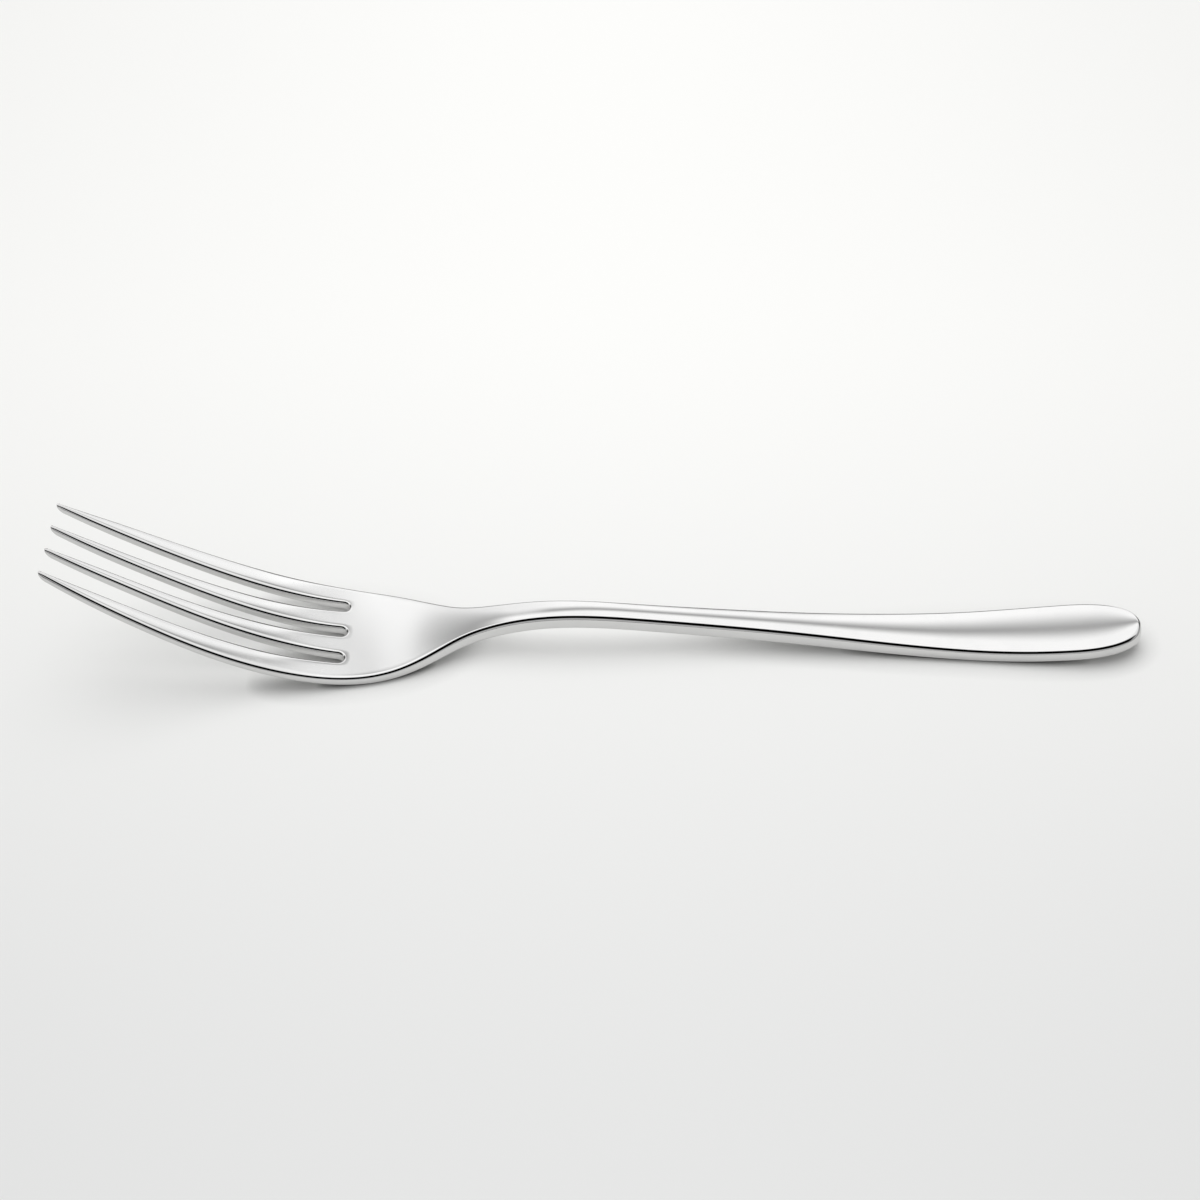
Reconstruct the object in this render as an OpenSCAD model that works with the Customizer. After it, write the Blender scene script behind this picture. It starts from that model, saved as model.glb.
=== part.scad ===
// Dinner fork, stamped and forged from one piece of stainless steel.
// X runs along the fork: the points are at -X and the handle ends at +X.
// Y runs across it, Z is up, and the table that it rests on is at Z = 0.

/* [Overall] */
// Length from the points of the tines to the end of the handle
overall_length = 200; // [180:1:220]

/* [Tines] */
// Length of the slots, from their round crotches to the points
tine_length = 51.8; // [42:0.1:58]
// Height of the points above the table
tip_height = 25.95; // [18:0.05:34]
// Distance between neighbouring points
tip_pitch = 6.1; // [5.4:0.05:6.6]
// Width of a tine where its point begins to round off
tip_w = 0.85; // [0.6:0.05:1.4]
// Length over which the sides of a point round off to its end
tip_round = 0.45; // [0.3:0.05:1]
// Thickness of a tine where its point begins to thin
tip_thickness = 1.25; // [0.9:0.05:1.8]
// Length over which the underside of a point rises to its end
point_length = 1.6; // [1:0.05:2.4]
// Thickness of the metal at the very end of a point
point_thickness = 0.3; // [0.2:0.01:0.6]
// Radius of the slight crown across the front of each tine
tine_crown_r = 22; // [14:1:40]
// Distance between neighbouring slots at the crotches
slot_pitch = 6.85; // [6.2:0.05:7.4]
// Width of a slot at its crotch, which is a half circle
slot_w = 2.3; // [1.6:0.05:3]

/* [Head] */
// Width of the head where it is widest
head_w = 25.8; // [24:0.1:29]
// Distance from the crotches forward to the widest place
head_widest_lead = 14.8; // [10:0.1:20]
// Thickness of the metal where the head rests on the table
head_thickness = 2.03; // [1.5:0.01:2.6]
// Length of the palm, from the crotches to the shoulder
palm_length = 12.2; // [9:0.1:16]
// Distance from the crotches back to the lowest place of the palm
palm_rest_setback = 4.7; // [3:0.1:7]
// Length of the shoulder, where the head narrows to the neck
shoulder_length = 14; // [11:0.1:18]
// Rise of the front face across the palm, from the edges to the middle
head_crown = 0.25; // [0.05:0.01:0.5]

/* [Neck] */
// Length of the neck
neck_length = 34; // [28:0.5:42]
// Width of the neck where the shoulder ends
neck_start_w = 6.7; // [5.6:0.1:8]
// Width of the neck where it is narrowest
neck_w = 5; // [4.2:0.1:5.6]
// Distance from the shoulder to the narrowest place
neck_narrow_setback = 26; // [20:0.5:27]
// Thickness of the metal at the top of the neck's arch
neck_thickness = 2.92; // [2.2:0.01:3.6]
// Height of the front face at the top of the neck's arch
neck_height = 8.45; // [6:0.05:12]
// Distance from the shoulder to the top of the arch
neck_arch_setback = 16; // [12:0.5:20]
// Rise of the front face across the neck, from the edges to the middle
neck_crown = 0.35; // [0.1:0.01:0.5]

/* [Handle] */
// Width of the handle where it is widest
handle_w = 13.2; // [11:0.1:16]
// Distance from the widest place to the end of the handle
handle_widest_setback = 12; // [8:0.5:16]
// Thickness of the metal where the handle rests on the table
handle_thickness = 2.7; // [2:0.01:3.4]
// Distance from the lowest place of the handle to its end
handle_rest_setback = 30; // [22:0.5:38]
// Height of the front face at the end of the handle
handle_end_height = 4.85; // [3.5:0.05:8]
// Length of the rounded end
handle_end_length = 14; // [9:0.5:18]
// Rise of the front face across the handle, from the edges to the middle
handle_crown = 0.45; // [0.1:0.01:0.7]

/* [Edges] */
// Width of the soft front edge on the tines
tine_edge_w = 0.65; // [0.4:0.05:1.2]
// Width of the soft front edge round the end of a slot
crotch_edge_w = 0.5; // [0.3:0.05:0.6]
// Width of the soft front edge along the palm
palm_edge_w = 0.5; // [0.3:0.05:0.8]
// Width of the soft front edge on the neck and the handle
handle_edge_w = 0.5; // [0.3:0.05:0.8]
// Depth of the soft front edge
edge_depth = 0.48; // [0.3:0.01:0.6]
// Radius of the back edge
back_edge_r = 0.32; // [0.15:0.01:0.4]
// Depth to which the two resting places are worn flat
rest_wear = 0.03; // [0.01:0.01:0.08]

/* [Hidden] */

steel = [0.82, 0.83, 0.85];

// Facets: steps along each stretch, round the edges and across the front face
crotch_steps = 7;
tine_steps = 24;
point_steps = 6;
palm_steps = 9;
shoulder_steps = 12;
neck_steps = 14;
handle_steps = 30;
handle_end_steps = 13;
front_edge_steps = 4;
back_edge_steps = 3;
tine_face_steps = 2;
face_steps = 12;

// Curves are drawn through rows of two shares: of the way from one place to the next, and of the
// change in size between them
tine_rise_shares = [[1, 1], [0.735, 0.626], [0.469, 0.293], [0.239, 0.088]];
shoulder_rise_shares = [[0, 0], [0.25, 0.15], [0.52, 0.585], [0.79, 0.93]];
handle_fall_shares = [[0, 0], [0.16, 0.14], [0.47, 0.525], [0.76, 0.865]];
end_rise_shares = [[0, 0], [0.53, 0.35], [1, 1]];
tine_thinning_shares = [[1, 1], [0.82, 0.58], [0.65, 0.5], [0.47, 0.38], [0.29, 0.26]];
shoulder_thickening_shares = [[0, 0], [0.36, 0.5], [0.68, 0.94]];
handle_thinning_shares = [[0, 0], [0.54, -0.15], [1, 1]];
head_widening_shares = [[0, 0], [0.22, 0.4], [0.46, 0.7], [0.73, 0.92]];
head_narrowing_shares = [
    [0, 0], [0.244, 0.03], [0.44, 0.12], [0.61, 0.315], [0.744, 0.59], [0.878, 0.875]
];
neck_narrowing_shares = [[0, 0], [0.3, 0.67]];
handle_widening_shares = [
    [0, 0], [0.19, 0.055], [0.38, 0.185], [0.57, 0.445], [0.76, 0.755], [0.905, 0.955], [1, 1]
];
centre_slot_shares = [[0, 0], [0.22, 0.03], [0.5, 0.33], [0.75, 0.54], [0.91, 0.75], [1, 1]];
side_slot_inner_shares = [[0, 0], [0.22, 0.17], [0.5, 0.42], [0.75, 0.68], [0.91, 0.84], [1, 1]];
side_slot_outer_shares = [[0, 0], [0.2, 0.32], [0.45, 0.62], [0.75, 0.64], [0.91, 0.78], [1, 1]];

// Fullness of the handle's rounded end, which is an ellipse at 2
end_fullness = 2.45;
// Least width that closes a rounded end, as a share of the full width
handle_cap_share = 0.12;
point_cap_share = 0.3;
// Most of a section's width that one soft edge takes, and most of its thickness at the front and back
edge_width_share = 0.42;
front_edge_share = 0.38;
back_edge_share = 0.25;
// Depth of the front edge that is left at the end of a crotch, where no polishing wheel reaches
crotch_edge_share = 0.1;

// Slopes of the front face at the points and at the end of the handle
tip_slope = (tip_height - head_thickness) / (tine_length + palm_rest_setback)
    * (1 - tine_rise_shares[1][1]) / (1 - tine_rise_shares[1][0]);
end_slope = (handle_end_height - handle_thickness) / handle_rest_setback
    * (1 - end_rise_shares[1][1]) / (1 - end_rise_shares[1][0]);

// Places along the fork. Sections stand square to the front face, so at both ends the back edge
// reaches out a little further than the crest, and the crest stops short by as much.
tip_x = -overall_length / 2 + point_thickness * tip_slope / norm([1, tip_slope]);
end_x = overall_length / 2 - handle_thickness * end_slope / norm([1, end_slope]);
crotch_x = -overall_length / 2 + tine_length;
crotch_r = slot_w / 2;
crotch_centre_x = crotch_x - crotch_r;
head_widest_x = crotch_x - head_widest_lead;
palm_rest_x = crotch_x + palm_rest_setback;
shoulder_x = crotch_x + palm_length;
neck_x = shoulder_x + shoulder_length;
neck_top_x = neck_x + neck_arch_setback;
neck_narrow_x = neck_x + neck_narrow_setback;
handle_x = neck_x + neck_length;
handle_rest_x = end_x - handle_rest_setback;
handle_widest_x = end_x - handle_widest_setback;
handle_round_x = end_x - handle_end_length;

// Natural cubic spline through points [place, size]: the bend at each point, solved down and up again
function solve_down(step, rate, i, before) =
    i > len(step) - 1 ? [] :
    let (
        pivot = 2 * (step[i - 1] + step[i]) - step[i - 1] * before[0],
        now = [step[i] / pivot, (6 * (rate[i] - rate[i - 1]) - step[i - 1] * before[1]) / pivot]
    )
    concat([now], solve_down(step, rate, i + 1, now));

function solve_up(rows, i, after) =
    i < 0 ? [] :
    let (bend = rows[i][1] - rows[i][0] * after)
    concat(solve_up(rows, i - 1, bend), [bend]);

function curve(points) =
    let (
        step = [for (i = [1 : len(points) - 1]) points[i][0] - points[i - 1][0]],
        rate = [for (i = [1 : len(points) - 1]) (points[i][1] - points[i - 1][1]) / step[i - 1]],
        rows = solve_down(step, rate, 1, [0, 0])
    )
    [points, concat([0], solve_up(rows, len(rows) - 1, 0), [0])];

// Size and slope of a curve at x
function follow(curve, x) =
    let (
        points = curve[0],
        i = max([for (k = [0 : len(points) - 2]) if (k == 0 || x >= points[k][0]) k]),
        step = points[i + 1][0] - points[i][0],
        rise = points[i + 1][1] - points[i][1],
        b = (x - points[i][0]) / step,
        a = 1 - b,
        bend_a = curve[1][i] * step / 6,
        bend_b = curve[1][i + 1] * step / 6
    )
    [
        points[i][1] + b * rise + ((pow(a, 3) - a) * bend_a + (pow(b, 3) - b) * bend_b) * step,
        rise / step + (3 * b * b - 1) * bend_b - (3 * a * a - 1) * bend_a
    ];

function size(curve, x) = follow(curve, x)[0];

// Rows of shares laid out from one point [place, size] to another, in rising order of place
function lay(shares, from, to) = [
    for (row = shares) [from[0] + (to[0] - from[0]) * row[0], from[1] + (to[1] - from[1]) * row[1]]
];

// Crest of the front face, seen from the side
tip_point = [tip_x, tip_height];
palm_low = [palm_rest_x, head_thickness - rest_wear];
neck_top = [neck_top_x, neck_height];
handle_low = [handle_rest_x, handle_thickness - rest_wear];
crest = curve(concat(
    lay(tine_rise_shares, palm_low, tip_point),
    lay(shoulder_rise_shares, palm_low, neck_top),
    lay(handle_fall_shares, neck_top, handle_low),
    lay(end_rise_shares, handle_low, [end_x, handle_end_height])
));

// Thickness of the metal under the crest
palm_metal = [palm_rest_x, head_thickness];
neck_metal = [neck_top_x, neck_thickness];
thickness = curve(concat(
    lay(tine_thinning_shares, palm_metal, [tip_x, tip_thickness]),
    lay(shoulder_thickening_shares, palm_metal, neck_metal),
    lay(handle_thinning_shares, neck_metal, [handle_rest_x, handle_thickness]),
    [[end_x, handle_thickness]]
));

// Half-width of the blank, before the end of the handle is rounded
tip_edge = [tip_x, 1.5 * tip_pitch + tip_w / 2];
head_edge = [head_widest_x, head_w / 2];
neck_edge = [neck_x, neck_start_w / 2];
narrow_edge = [neck_narrow_x, neck_w / 2];
blank = curve(concat(
    lay(head_widening_shares, tip_edge, head_edge),
    lay(head_narrowing_shares, head_edge, neck_edge),
    lay(neck_narrowing_shares, neck_edge, narrow_edge),
    lay(handle_widening_shares, narrow_edge, [handle_widest_x, handle_w / 2]),
    [[end_x, handle_w / 2]]
));

// Rise of the front face from its edges to its crest, which fades out towards the points
crown = curve([
    [tip_x, 0], [palm_rest_x, head_crown], [neck_top_x, neck_crown],
    [handle_rest_x, handle_crown], [end_x, handle_crown]
]);

// Width of the soft front edge along the outline, and along the slots
edge_w = curve([
    [tip_x, tine_edge_w], [head_widest_x, tine_edge_w], [palm_rest_x, palm_edge_w],
    [neck_x, handle_edge_w], [handle_x, handle_edge_w], [end_x, handle_edge_w]
]);
slot_edge_w = curve([[tip_x, tine_edge_w], [head_widest_x, tine_edge_w], [crotch_x, crotch_edge_w]]);

// Edges of the slots on the right half of the fork, from the crotches to the points
crotch_reach = crotch_centre_x - tip_x;
centre_slot = curve(lay(centre_slot_shares, [0, crotch_r], [crotch_reach, (tip_pitch - tip_w) / 2]));
side_slot_inner = curve(lay(
    side_slot_inner_shares, [0, slot_pitch - crotch_r], [crotch_reach, (tip_pitch + tip_w) / 2]
));
side_slot_outer = curve(lay(
    side_slot_outer_shares, [0, slot_pitch + crotch_r], [crotch_reach, 1.5 * tip_pitch - tip_w / 2]
));

// How far the handle's outline is drawn in at x by its rounded end, as a share, and its slope there
function end_way(x) = max(0, (x - handle_round_x) / handle_end_length);
function end_share(x) =
    max(handle_cap_share, pow(max(0, 1 - pow(end_way(x), end_fullness)), 1 / end_fullness));
function end_share_slope(x) =
    -pow(end_way(x), end_fullness - 1) * pow(end_share(x), 1 - end_fullness) / handle_end_length;

function half_width(x) = size(blank, x) * end_share(x);
function outline_slope(x) = follow(blank, x)[1] * end_share(x) + size(blank, x) * end_share_slope(x);

// Quarter of an ellipse: how far an edge of this depth has dropped, at a share of the way in from it
function edge_drop(depth, way) = depth * (1 - sqrt(max(0, 1 - pow(1 - min(1, way), 2))));

// A wall of the section at x: its place, and the width and depth of the soft edge above it
function outer_wall(x) = [half_width(x), size(edge_w, x) * norm([1, outline_slope(x)]), edge_depth];
function mirrored(wall) = [-wall[0], wall[1], wall[2]];

// The wall of a slot at x follows its curve, and the round crotch where that has ended
function slot_wall(x, slot, centre_y, side) =
    let (
        past = max(0, x - crotch_centre_x),
        arc = sqrt(max(0, crotch_r * crotch_r - past * past)),
        y = past > 0 ? centre_y + side * arc : size(slot, crotch_centre_x - x)
    )
    [y, size(slot_edge_w, x), edge_depth * (1 - (1 - crotch_edge_share) * past / crotch_r)];

// How full a tine is at x, where its point rounds off and its underside rises to the end
function point_share(x) =
    let (way = min(1, (x - tip_x) / tip_round))
    max(point_cap_share, sqrt(1 - pow(1 - way, 2)));
function point_metal_share(x) =
    let (way = min(1, (x - tip_x) / point_length))
    1 - (1 - point_thickness / tip_thickness) * pow(1 - way, 2);

// How far the crown across each tine has grown at x, from nothing at the crotches, as a share
function tine_crown_share(x) =
    let (way = min(1, max(0, (crotch_centre_x - x) / head_widest_lead)))
    way * way * (3 - 2 * way);

// A section square to the crest at x. It runs from wall a over the front face to wall b, and back
// along the underside. It is drawn in at a point, and its front face is sunk at the handle's end.
function section(x, a, b, steps, sunk) =
    let (
        here = follow(crest, x),
        run = norm([1, here[1]]),
        thick = size(thickness, x) * point_metal_share(x),
        half = half_width(x),
        middle = (a[0] + b[0]) / 2,
        left = middle + (a[0] - middle) * point_share(x),
        right = middle + (b[0] - middle) * point_share(x),
        width = right - left,
        left_w = min(a[1], edge_width_share * width),
        right_w = min(b[1], edge_width_share * width),
        left_depth = min(a[2], front_edge_share * thick),
        right_depth = min(b[2], front_edge_share * thick),
        back_r = min(back_edge_r, back_edge_share * thick, edge_width_share * width),
        face = concat(
            [for (k = [0 : front_edge_steps]) let (turn = 90 * k / front_edge_steps)
                [left + left_w * (1 - cos(turn)), -left_depth * (1 - sin(turn))]],
            [for (k = [1 : steps - 1]) [left + left_w + (width - left_w - right_w) * k / steps, 0]],
            [for (k = [front_edge_steps : -1 : 0]) let (turn = 90 * k / front_edge_steps)
                [right - right_w * (1 - cos(turn)), -right_depth * (1 - sin(turn))]]
        ),
        back = concat(
            [for (k = [0 : back_edge_steps]) let (turn = 90 * k / back_edge_steps)
                [right - back_r * (1 - cos(turn)), -thick + back_r * (1 - sin(turn))]],
            [for (k = [back_edge_steps : -1 : 0]) let (turn = 90 * k / back_edge_steps)
                [left + back_r * (1 - cos(turn)), -thick + back_r * (1 - sin(turn))]]
        ),
        rise = size(crown, x),
        bend = tine_crown_share(x) / (2 * tine_crown_r),
        outline = concat([for (p = face)
            [p[0], p[1] - sunk - rise * pow(p[0] / half, 2) - bend * pow(p[0] - middle, 2)]], back)
    )
    [for (p = outline) [x - p[1] * here[1] / run, p[0], max(0, here[0] + p[1] / run)]];

// A solid drawn through sections in rising order of x
module loft(rings) {
    n = len(rings[0]);
    last = len(rings) - 1;
    polyhedron(
        points = [for (ring = rings) for (p = ring) p],
        faces = concat(
            [[for (k = [n - 1 : -1 : 0]) k]],
            [[for (k = [0 : n - 1]) last * n + k]],
            [for (i = [0 : last - 1]) for (k = [0 : n - 1])
                [i * n + k, i * n + (k + 1) % n, (i + 1) * n + (k + 1) % n, (i + 1) * n + k]]
        ),
        convexity = 6
    );
}

// Places of the sections, in rising order of x
function spread(from, to, steps) = [for (k = [0 : steps]) from + (to - from) * k / steps];

point_places = [for (k = [0 : point_steps - 1]) tip_x + point_length * pow(k / point_steps, 2)];
crotch_places = [for (k = [1 : crotch_steps]) crotch_centre_x + crotch_r * sin(90 * k / crotch_steps)];
tine_places = concat(
    point_places, spread(tip_x + point_length, crotch_centre_x, tine_steps), crotch_places
);
handle_end_places = [
    for (k = [handle_end_steps - 1 : -1 : 0])
        end_x - handle_end_length * pow(k / handle_end_steps, 3)
];

module right_inner() loft([
    for (x = tine_places) section(
        x,
        slot_wall(x, centre_slot, 0, 1),
        slot_wall(x, side_slot_inner, slot_pitch, -1),
        tine_face_steps, 0
    )
]);

module right_outer() loft([
    for (x = tine_places) section(
        x,
        slot_wall(x, side_slot_outer, slot_pitch, 1),
        outer_wall(x),
        tine_face_steps, 0
    )
]);

// A stretch of the fork that runs from wall to wall, with its end face rounded down at the handle's end
module stretch(places) loft([
    for (x = places) section(
        x, mirrored(outer_wall(x)), outer_wall(x), face_steps,
        edge_drop(edge_depth, (end_x - x) / handle_edge_w)
    )
]);

module tine_right_outer() {
    color(steel) right_outer();
}

module tine_right_inner() {
    color(steel) right_inner();
}

module tine_left_inner() {
    color(steel) mirror([0, 1, 0]) right_inner();
}

module tine_left_outer() {
    color(steel) mirror([0, 1, 0]) right_outer();
}

// The flat of the head behind the tines, which rests on the table
module palm() {
    color(steel) stretch(spread(crotch_x, shoulder_x, palm_steps));
}

// The rising stretch where the head narrows to the neck
module shoulder() {
    color(steel) stretch(spread(shoulder_x, neck_x, shoulder_steps));
}

// The narrow arched stretch
module neck() {
    color(steel) stretch(spread(neck_x, handle_x, neck_steps));
}

// The widening handle with its rounded, slightly raised end
module handle() {
    color(steel) stretch(concat(spread(handle_x, handle_round_x, handle_steps), handle_end_places));
}

tine_left_outer();
tine_left_inner();
tine_right_inner();
tine_right_outer();
palm();
shoulder();
neck();
handle();
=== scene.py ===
import math

import bmesh
import bpy
import numpy as np
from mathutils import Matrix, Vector


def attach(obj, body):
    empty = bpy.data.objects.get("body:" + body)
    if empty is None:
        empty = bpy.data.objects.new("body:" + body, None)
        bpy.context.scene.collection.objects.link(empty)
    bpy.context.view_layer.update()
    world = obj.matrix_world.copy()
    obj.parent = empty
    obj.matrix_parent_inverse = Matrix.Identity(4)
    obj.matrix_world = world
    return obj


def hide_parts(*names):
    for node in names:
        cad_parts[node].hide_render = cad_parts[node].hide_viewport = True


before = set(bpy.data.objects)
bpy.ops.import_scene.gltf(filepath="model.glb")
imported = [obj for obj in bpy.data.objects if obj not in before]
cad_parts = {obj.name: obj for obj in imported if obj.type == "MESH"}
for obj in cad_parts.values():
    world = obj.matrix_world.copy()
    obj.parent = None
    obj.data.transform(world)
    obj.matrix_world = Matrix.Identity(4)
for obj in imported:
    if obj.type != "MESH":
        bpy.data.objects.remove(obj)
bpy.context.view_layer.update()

MM = 0.001

# Sizes of the fork in millimetres. X runs from the points to the end of the handle, and Z is up.
OVERALL_LENGTH = 200
TINE_LENGTH = 51.8
TIP_HEIGHT = 25.95
TIP_PITCH = 6.1
TIP_W = 0.85
TIP_ROUND = 0.45
TIP_THICKNESS = 1.25
POINT_LENGTH = 1.6
POINT_THICKNESS = 0.3
TINE_CROWN_R = 22
SLOT_PITCH = 6.85
SLOT_W = 2.3
HEAD_W = 25.8
HEAD_WIDEST_LEAD = 14.8
HEAD_THICKNESS = 2.03
PALM_LENGTH = 12.2
PALM_REST_SETBACK = 4.7
SHOULDER_LENGTH = 14
HEAD_CROWN = 0.25
NECK_LENGTH = 34
NECK_START_W = 6.7
NECK_W = 5
NECK_NARROW_SETBACK = 26
NECK_THICKNESS = 2.92
NECK_HEIGHT = 8.45
NECK_ARCH_SETBACK = 16
NECK_CROWN = 0.35
HANDLE_W = 13.2
HANDLE_WIDEST_SETBACK = 12
HANDLE_THICKNESS = 2.7
HANDLE_REST_SETBACK = 30
HANDLE_END_HEIGHT = 4.85
HANDLE_END_LENGTH = 14
HANDLE_CROWN = 0.45
TINE_EDGE_W = 0.85
CROTCH_EDGE_W = 0.6
PALM_EDGE_W = 0.85
HANDLE_EDGE_W = 0.75
TINE_EDGE_DEPTH = 0.44
PALM_EDGE_DEPTH = 0.5
HANDLE_EDGE_DEPTH = 0.7
BACK_EDGE_R = 0.32
REST_WEAR = 0.03
END_FULLNESS = 2.45
EDGE_WIDTH_SHARE = 0.42
FRONT_EDGE_SHARE = 0.38
BACK_EDGE_SHARE = 0.25
LEAST_FULLNESS = 0.12

# Reach of the brighter polish from an edge, and how much of it is left at the crotches
RIM_W = 1.0
CROTCH_RIM = 0.1
RIM_FADE_LENGTH = 12

# Rows of two shares: of the way from one place to the next, and of the change in size
TINE_RISE = [(1, 1), (0.735, 0.626), (0.469, 0.293), (0.239, 0.088)]
SHOULDER_RISE = [(0, 0), (0.25, 0.15), (0.52, 0.585), (0.79, 0.93)]
HANDLE_FALL = [(0, 0), (0.16, 0.14), (0.47, 0.525), (0.76, 0.865)]
END_RISE = [(0, 0), (0.53, 0.35), (1, 1)]
TINE_THINNING = [(1, 1), (0.82, 0.58), (0.65, 0.5), (0.47, 0.38), (0.29, 0.26)]
SHOULDER_THICKENING = [(0, 0), (0.36, 0.5), (0.68, 0.94)]
HANDLE_THINNING = [(0, 0), (0.54, -0.15), (1, 1)]
HEAD_WIDENING = [(0, 0), (0.22, 0.4), (0.46, 0.7), (0.73, 0.92)]
HEAD_NARROWING = [
    (0, 0), (0.244, 0.03), (0.44, 0.12), (0.61, 0.315), (0.744, 0.59), (0.878, 0.875)
]
NECK_NARROWING = [(0, 0), (0.3, 0.67)]
HANDLE_WIDENING = [
    (0, 0), (0.19, 0.055), (0.38, 0.185), (0.57, 0.445), (0.76, 0.755), (0.905, 0.955), (1, 1)
]
CENTRE_SLOT = [(0, 0), (0.22, 0.03), (0.5, 0.33), (0.75, 0.54), (0.91, 0.75), (1, 1)]
SIDE_SLOT_INNER = [(0, 0), (0.22, 0.17), (0.5, 0.42), (0.75, 0.68), (0.91, 0.84), (1, 1)]
SIDE_SLOT_OUTER = [(0, 0), (0.2, 0.32), (0.45, 0.62), (0.75, 0.64), (0.91, 0.78), (1, 1)]

# Steps and lengths of the mesh. The last two are the distances under which points and edges merge.
EDGE_STEPS = 10
WALL_STEPS = 2
BACK_STEPS = 5
STRIP_STEPS = 4
CROTCH_SIDE_STEPS = 10
CROTCH_END_STEPS = 9
TIP_STEPS = 9
TINE_STEPS = 96
STRETCH_STEPS = 210
END_STEPS = 44
ROUND_END_SAMPLES = 4000
PALM_JOIN_LENGTH = 3.2
WELD_DISTANCE = 0.0002
SHORTEST_EDGE = 0.0001


def curve(points):
    """Natural cubic spline through points (place, size): places, sizes and bends."""
    x, y = np.array(sorted(points), float).T
    step = np.diff(x)
    rate = np.diff(y) / step
    n = len(x)
    a, b = np.eye(n), np.zeros(n)
    for i in range(1, n - 1):
        a[i, i - 1: i + 2] = step[i - 1], 2 * (step[i - 1] + step[i]), step[i]
        b[i] = 6 * (rate[i] - rate[i - 1])
    return x, y, np.linalg.solve(a, b)


def follow(c, at):
    """Size and slope of a curve at a place."""
    x, y, bend = c
    at = np.asarray(at, float)
    i = np.clip(np.searchsorted(x, at, side="right") - 1, 0, len(x) - 2)
    step, rise = x[i + 1] - x[i], y[i + 1] - y[i]
    b = (at - x[i]) / step
    a = 1 - b
    bend_a, bend_b = bend[i] * step / 6, bend[i + 1] * step / 6
    size = y[i] + b * rise + ((a**3 - a) * bend_a + (b**3 - b) * bend_b) * step
    return size, rise / step + (3 * b * b - 1) * bend_b - (3 * a * a - 1) * bend_a


def lay(shares, start, end):
    """Rows of shares laid out from one point (place, size) to another."""
    return [
        (start[0] + (end[0] - start[0]) * s, start[1] + (end[1] - start[1]) * t)
        for s, t in shares
    ]


# Places along the fork
tip_slope = (
    (TIP_HEIGHT - HEAD_THICKNESS) / (TINE_LENGTH + PALM_REST_SETBACK)
    * (1 - TINE_RISE[1][1]) / (1 - TINE_RISE[1][0])
)
end_slope = (
    (HANDLE_END_HEIGHT - HANDLE_THICKNESS) / HANDLE_REST_SETBACK
    * (1 - END_RISE[1][1]) / (1 - END_RISE[1][0])
)
tip_x = -OVERALL_LENGTH / 2 + POINT_THICKNESS * tip_slope / math.hypot(1, tip_slope)
end_x = OVERALL_LENGTH / 2 - HANDLE_THICKNESS * end_slope / math.hypot(1, end_slope)
crotch_x = -OVERALL_LENGTH / 2 + TINE_LENGTH
crotch_r = SLOT_W / 2
crotch_centre_x = crotch_x - crotch_r
head_widest_x = crotch_x - HEAD_WIDEST_LEAD
palm_rest_x = crotch_x + PALM_REST_SETBACK
shoulder_x = crotch_x + PALM_LENGTH
neck_x = shoulder_x + SHOULDER_LENGTH
neck_top_x = neck_x + NECK_ARCH_SETBACK
neck_narrow_x = neck_x + NECK_NARROW_SETBACK
handle_x = neck_x + NECK_LENGTH
handle_rest_x = end_x - HANDLE_REST_SETBACK
handle_widest_x = end_x - HANDLE_WIDEST_SETBACK
handle_round_x = end_x - HANDLE_END_LENGTH

palm_low = (palm_rest_x, HEAD_THICKNESS - REST_WEAR)
neck_top = (neck_top_x, NECK_HEIGHT)
handle_low = (handle_rest_x, HANDLE_THICKNESS - REST_WEAR)
crest = curve(
    lay(TINE_RISE, palm_low, (tip_x, TIP_HEIGHT))
    + lay(SHOULDER_RISE, palm_low, neck_top)
    + lay(HANDLE_FALL, neck_top, handle_low)
    + lay(END_RISE, handle_low, (end_x, HANDLE_END_HEIGHT))
)

palm_metal = (palm_rest_x, HEAD_THICKNESS)
neck_metal = (neck_top_x, NECK_THICKNESS)
thickness = curve(
    lay(TINE_THINNING, palm_metal, (tip_x, TIP_THICKNESS))
    + lay(SHOULDER_THICKENING, palm_metal, neck_metal)
    + lay(HANDLE_THINNING, neck_metal, (handle_rest_x, HANDLE_THICKNESS))
    + [(end_x, HANDLE_THICKNESS)]
)

head_edge = (head_widest_x, HEAD_W / 2)
neck_edge = (neck_x, NECK_START_W / 2)
narrow_edge = (neck_narrow_x, NECK_W / 2)
blank = curve(
    lay(HEAD_WIDENING, (tip_x, 1.5 * TIP_PITCH + TIP_W / 2), head_edge)
    + lay(HEAD_NARROWING, head_edge, neck_edge)
    + lay(NECK_NARROWING, neck_edge, narrow_edge)
    + lay(HANDLE_WIDENING, narrow_edge, (handle_widest_x, HANDLE_W / 2))
    + [(end_x, HANDLE_W / 2)]
)

crown = curve([
    (tip_x, 0), (palm_rest_x, HEAD_CROWN), (neck_top_x, NECK_CROWN),
    (handle_rest_x, HANDLE_CROWN), (end_x, HANDLE_CROWN)
])
edge_w = curve([
    (tip_x, TINE_EDGE_W), (head_widest_x, TINE_EDGE_W), (palm_rest_x, PALM_EDGE_W),
    (neck_x, HANDLE_EDGE_W), (handle_x, HANDLE_EDGE_W), (end_x, HANDLE_EDGE_W)
])
edge_depth = curve([
    (tip_x, TINE_EDGE_DEPTH), (head_widest_x, TINE_EDGE_DEPTH), (palm_rest_x, PALM_EDGE_DEPTH),
    (neck_x, HANDLE_EDGE_DEPTH), (handle_x, HANDLE_EDGE_DEPTH), (end_x, HANDLE_EDGE_DEPTH)
])
slot_edge_w = curve([
    (tip_x, TINE_EDGE_W), (head_widest_x, TINE_EDGE_W), (crotch_centre_x, CROTCH_EDGE_W)
])

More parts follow.
